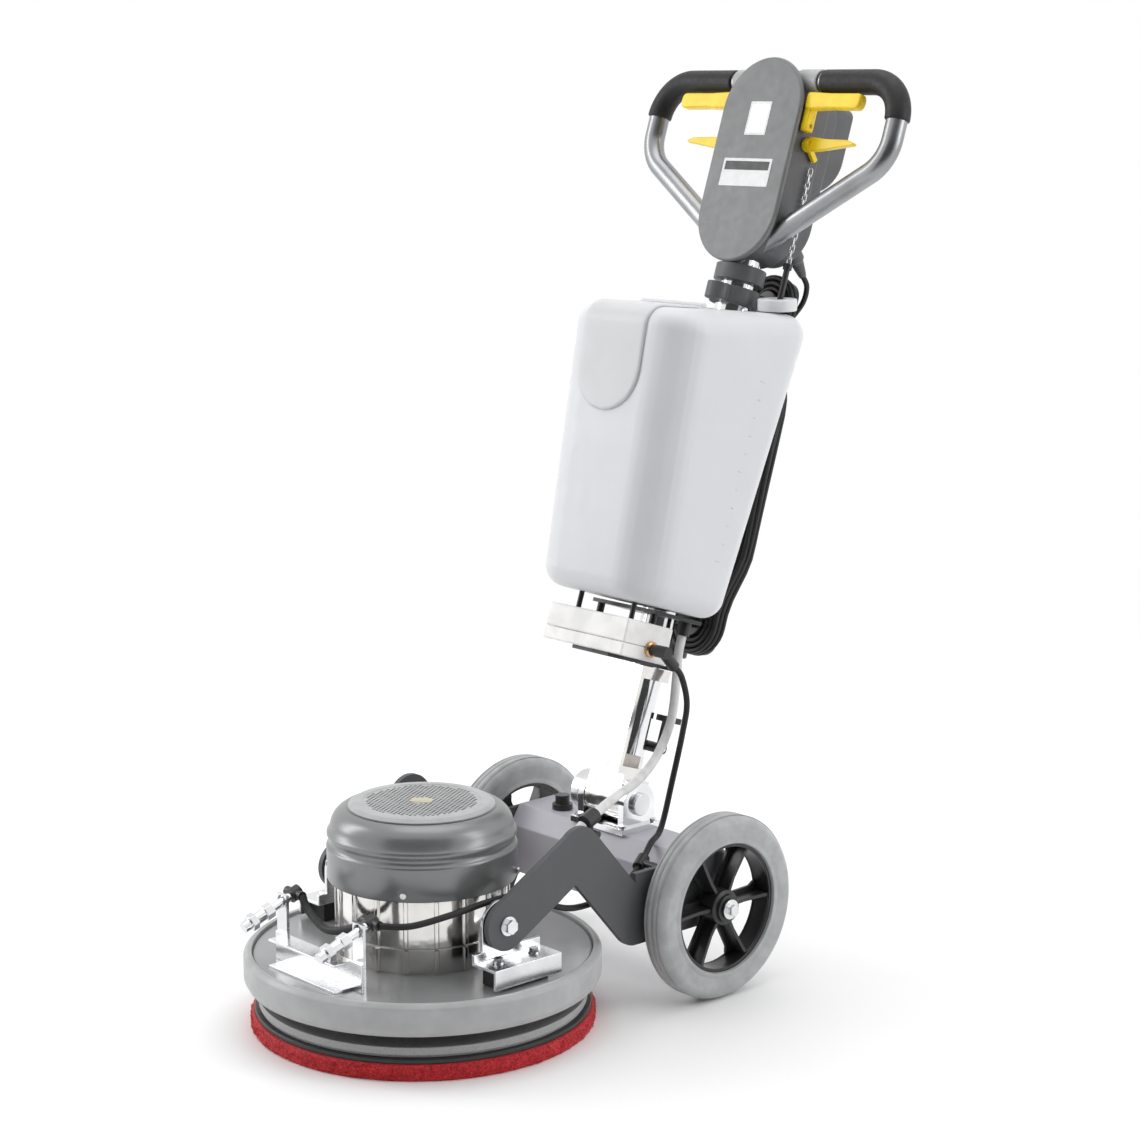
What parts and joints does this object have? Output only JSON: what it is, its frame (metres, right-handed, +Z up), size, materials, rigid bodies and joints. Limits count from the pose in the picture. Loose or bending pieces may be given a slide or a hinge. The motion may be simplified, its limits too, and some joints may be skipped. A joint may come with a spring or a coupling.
{
  "type": "rotary floor machine",
  "caption": "Upright single-disc floor scrubber with round deck, motor on top, two rear wheels, leaning mast with water tank, looped handle with levers and a wound mains cord.",
  "frame": {"origin": "centre of the scrub pad's underside, on the floor", "axes": "+Z up, -Y to the front of the machine (spray nozzles), +Y to the operator and the wheels, +X to the side with the water elbow"},
  "size_m": [0.4642, 0.9531, 1.1862],
  "materials": {
    "pad_red": "coarse fibre",
    "black_plastic": "satin",
    "grey_plastic": "satin",
    "dark_plastic": "satin",
    "pale_plastic": "satin",
    "painted_grey": "satin",
    "painted_dark": "fine texture",
    "painted_pale": "satin",
    "polished_alu": "polished",
    "alu_tube": "silver-grey coat",
    "zinc_steel": "zinc plated",
    "chrome_steel": "polished",
    "tyre_grey": "moulded",
    "rubber_black": "moulded",
    "cable_grey": "smooth",
    "tank_white": "translucent satin",
    "white_plastic": "satin",
    "yellow_plastic": "satin"
  },
  "bodies": {
    "chassis": {"side_arms": "painted_dark", "axle_housing": "painted_pale", "axle_rod": "zinc_steel", "axle_bolts": "zinc_steel", "deck_pivot_bolts": "zinc_steel", "hinge_yoke": "chrome_steel", "hinge_pin": "zinc_steel", "chassis_clips": "black_plastic"},
    "scrub_head": {"deck_shell": "painted_grey", "bumper_ring": "pale_plastic", "gear_flange": "painted_dark", "motor_stator": "polished_alu", "motor_cowl": "grey_plastic", "cowl_vent_plate": "pale_plastic", "cowl_screws": "zinc_steel", "deck_brackets": "zinc_steel", "bracket_bolts": "zinc_steel", "bracket_blocks": "rubber_black", "spray_posts": "zinc_steel", "spray_bridge": "zinc_steel", "spray_nozzles": "chrome_steel", "spray_elbows": "black_plastic", "spray_link_hose": "rubber_black", "water_hose_low": "rubber_black", "motor_cable_low": "cable_grey"},
    "pad_drive": {"scrub_pad": "pad_red", "pad_hook_face": "black_plastic", "drive_disc": "pale_plastic"},
    "wheel_right": {"tyre_right": "tyre_grey", "rim_right": "black_plastic"},
    "wheel_left": {"tyre_left": "tyre_grey", "rim_left": "black_plastic"},
    "mast": {"mast_foot": "polished_alu", "mast_tube": "chrome_steel", "pump_case": "white_plastic", "pump_lid": "white_plastic", "pump_elbow": "black_plastic", "tank_bracket": "black_plastic", "water_tank": "tank_white", "tank_neck": "tank_white", "mast_clamp": "dark_plastic", "head_neck": "dark_plastic", "head_housing": "dark_plastic", "head_cover": "grey_plastic", "switch_box": "dark_plastic", "handle_loop": "alu_tube", "handle_grips": "rubber_black", "grip_collars": "pale_plastic", "hook_lower": "black_plastic", "mains_hank": "rubber_black", "mains_lead": "rubber_black", "mains_plug": "black_plastic", "water_hose": "rubber_black", "motor_cable": "cable_grey"},
    "lock_pedal": {"mast_lock_pedal": "black_plastic"},
    "tank_flap": {"tank_lid": "tank_white"},
    "start_levers": {"switch_levers": "yellow_plastic"},
    "dosing_levers": {"water_levers": "yellow_plastic"},
    "valve": {"valve_rod": "black_plastic"},
    "cord_hook": {"hook_upper": "black_plastic"}
  },
  "joints": [
    {"name": "deck_pitch", "type": "hinge", "parent": "chassis", "child": "scrub_head", "pos_m": [0, -0.005, 0.162], "axis": [1, 0, 0], "range_deg": [-8, 8], "deforming": ["water_hose_low", "motor_cable_low"]},
    {"name": "pad_spin", "type": "hinge", "parent": "scrub_head", "child": "pad_drive", "pos_m": [0, 0, 0], "axis": [0, 0, 1], "continuous": true},
    {"name": "wheel_right_roll", "type": "hinge", "parent": "chassis", "child": "wheel_right", "pos_m": [0.192, 0.328, 0.12], "axis": [1, 0, 0], "continuous": true},
    {"name": "wheel_left_roll", "type": "hinge", "parent": "chassis", "child": "wheel_left", "pos_m": [-0.192, 0.328, 0.12], "axis": [1, 0, 0], "continuous": true},
    {"name": "mast_lean", "type": "hinge", "parent": "chassis", "child": "mast", "pos_m": [0, 0.33, 0.222], "axis": [-1, 0, 0], "range_deg": [-18.3, 50], "deforming": ["water_hose", "motor_cable"]},
    {"name": "lock_pedal_press", "type": "hinge", "parent": "mast", "child": "lock_pedal", "pos_m": [0, 0.3833, 0.28442], "axis": [-1, 0, 0], "range_deg": [0, 20], "stiffness_Nm_per_rad": 2, "springref_deg": -8.59},
    {"name": "tank_flap_lift", "type": "hinge", "parent": "mast", "child": "tank_flap", "pos_m": [-0.008, 0.43723, 0.86885], "axis": [-1, 0, 0], "range_deg": [0, 110]},
    {"name": "start_lever_pull", "type": "hinge", "parent": "mast", "child": "start_levers", "pos_m": [0, 0.60306, 1.09543], "axis": [-1, 0, 0], "range_deg": [0, 15], "stiffness_Nm_per_rad": 3, "springref_deg": -11.46},
    {"name": "dosing_lever_press", "type": "hinge", "parent": "mast", "child": "dosing_levers", "pos_m": [0, 0.6066, 1.07109], "axis": [1, 0, 0], "range_deg": [0, 25], "stiffness_Nm_per_rad": 1.5, "springref_deg": -17.19},
    {"name": "valve_lift", "type": "slide", "parent": "mast", "child": "valve", "axis": [0, 0.314, 0.9494], "range_m": [0, 0.0115]},
    {"name": "cord_hook_turn", "type": "hinge", "parent": "mast", "child": "cord_hook", "pos_m": [0, 0.60362, 0.85826], "axis": [0, 0.9494, -0.314], "range_deg": [0, 180]}
  ],
  "couplings": [
    {"joint": "valve_lift", "follows": "dosing_lever_press", "m_per_rad": 0.0229}
  ]
}
